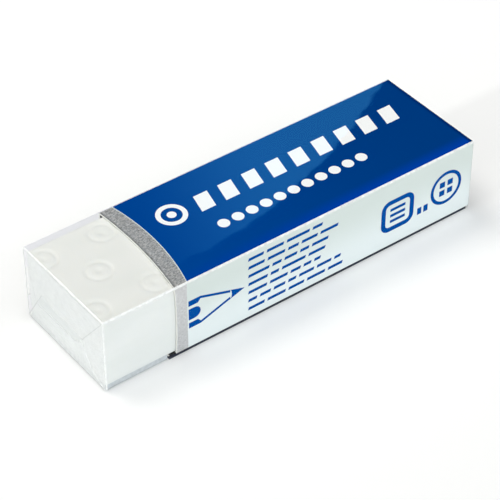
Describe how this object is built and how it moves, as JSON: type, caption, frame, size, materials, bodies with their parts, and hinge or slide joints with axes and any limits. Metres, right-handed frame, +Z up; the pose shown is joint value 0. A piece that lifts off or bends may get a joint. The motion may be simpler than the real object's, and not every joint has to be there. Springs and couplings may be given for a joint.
{
  "type": "wrapped rubber eraser",
  "caption": "Rectangular white vinyl eraser in a folded card sleeve with a bowed edge, sealed in tight clear film with envelope-folded ends.",
  "frame": {"origin": "centre of the underside of the wrapped eraser", "axes": "+X along the length, from the bare end towards the sleeved end; +Y from the printed front side towards the back; +Z up from the face that it rests on"},
  "size_m": [0.065, 0.0196, 0.0125],
  "materials": {
    "vinyl": "soft matt white vinyl with a faint pressed pattern",
    "card": "smooth coated card, printed blue on the top, with a silver band and white sides",
    "film": "clear glossy packing film"
  },
  "bodies": {
    "root": {"eraser_block": "vinyl", "card_sleeve": "card", "film_wrap": "film"}
  },
  "joints": []
}
